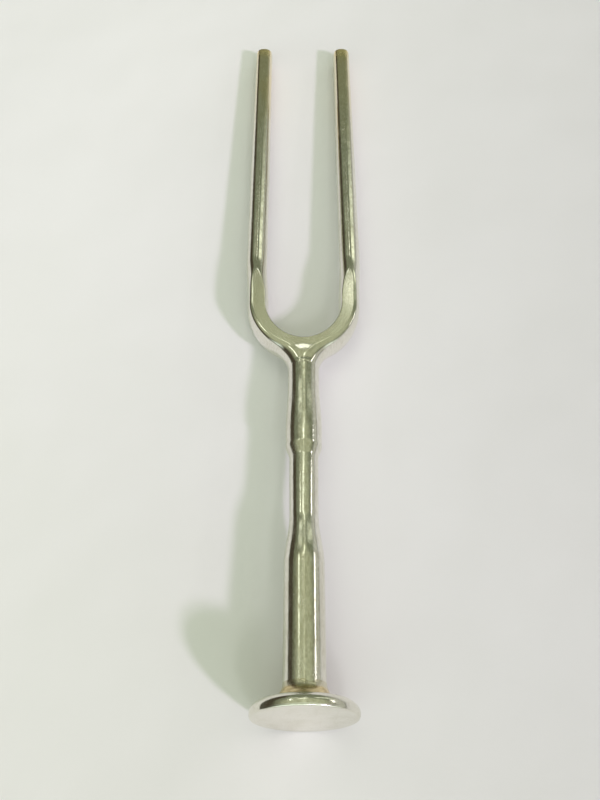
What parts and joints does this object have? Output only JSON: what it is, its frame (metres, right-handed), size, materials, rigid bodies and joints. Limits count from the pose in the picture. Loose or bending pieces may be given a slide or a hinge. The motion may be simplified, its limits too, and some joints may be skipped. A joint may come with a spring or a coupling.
{
  "type": "tuning fork",
  "caption": "Footed tuning fork: oval prongs on a flat-ground U-shaped yoke, a turned stem with a slim waist, and a round foot for pressing against a surface.",
  "frame": {"origin": "centre of the foot's flat contact face", "axes": "+Y along the fork from foot to prong tips, +X across the prongs, +Z out of the yoke's ground front flat; the fork lies on its back"},
  "size_m": [0.0272, 0.186, 0.0196],
  "materials": {
    "plated_steel": "bright nickel plate over steel, fine grinding marks",
    "braze": "dull, slightly tarnished"
  },
  "bodies": {
    "handle": {"yoke": "plated_steel", "stem": "plated_steel", "foot": "plated_steel", "foot_braze": "braze"},
    "left_prong": {"left_tine": "plated_steel"},
    "right_prong": {"right_tine": "plated_steel"}
  },
  "joints": [
    {"name": "left_tine_flex", "type": "hinge", "parent": "handle", "child": "left_prong", "pos_m": [-0.01115, 0.108, 0], "axis": [0, 0, 1], "range_deg": [-0.6, 0.6], "stiffness_Nm_per_rad": 5},
    {"name": "right_tine_flex", "type": "hinge", "parent": "handle", "child": "right_prong", "pos_m": [0.01115, 0.108, 0], "axis": [0, 0, 1], "range_deg": [-0.6, 0.6], "stiffness_Nm_per_rad": 5}
  ],
  "couplings": [
    {"joint": "right_tine_flex", "follows": "left_tine_flex", "ratio": -1}
  ]
}
